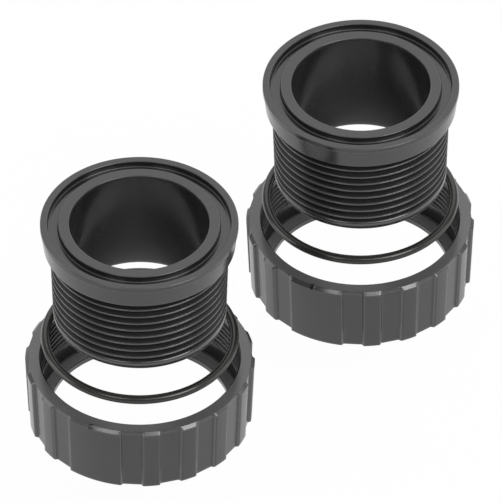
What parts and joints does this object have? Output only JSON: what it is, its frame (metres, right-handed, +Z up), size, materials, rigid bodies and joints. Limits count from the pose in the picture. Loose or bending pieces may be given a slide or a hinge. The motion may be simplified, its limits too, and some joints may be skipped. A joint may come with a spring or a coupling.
{
  "type": "pipe union connector set",
  "caption": "Threaded plastic pipe unions drawn apart: flanged tailpiece with a tapered male thread, rubber sealing ring and ribbed union nut, each on one centre line.",
  "frame": {"origin": "on the ground, midway between the centre lines of the two sets", "axes": "+Z up along the centre lines, +X from the left set to the right set, -Y towards the near side"},
  "size_m": [0.1272, 0.0548, 0.0606],
  "materials": {
    "nut_plastic": "black moulded plastic, satin",
    "seal_rubber": "black rubber, smooth",
    "tailpiece_plastic": "black moulded plastic, satin"
  },
  "bodies": {
    "nuts": {"left_union_nut": "nut_plastic", "right_union_nut": "nut_plastic"},
    "left_ring": {"left_sealing_ring": "seal_rubber"},
    "left_tail": {"left_threaded_tailpiece": "tailpiece_plastic"},
    "right_ring": {"right_sealing_ring": "seal_rubber"},
    "right_tail": {"right_threaded_tailpiece": "tailpiece_plastic"}
  },
  "joints": [
    {"name": "left_ring_slide", "type": "slide", "parent": "nuts", "child": "left_ring", "axis": [0, 0, 1], "range_m": [-0.02175, 0]},
    {"name": "left_tail_slide", "type": "slide", "parent": "left_ring", "child": "left_tail", "axis": [0, 0, 1], "range_m": [-0.02895, 0]},
    {"name": "right_ring_slide", "type": "slide", "parent": "nuts", "child": "right_ring", "axis": [0, 0, 1], "range_m": [-0.02175, 0]},
    {"name": "right_tail_slide", "type": "slide", "parent": "right_ring", "child": "right_tail", "axis": [0, 0, 1], "range_m": [-0.02895, 0]}
  ]
}
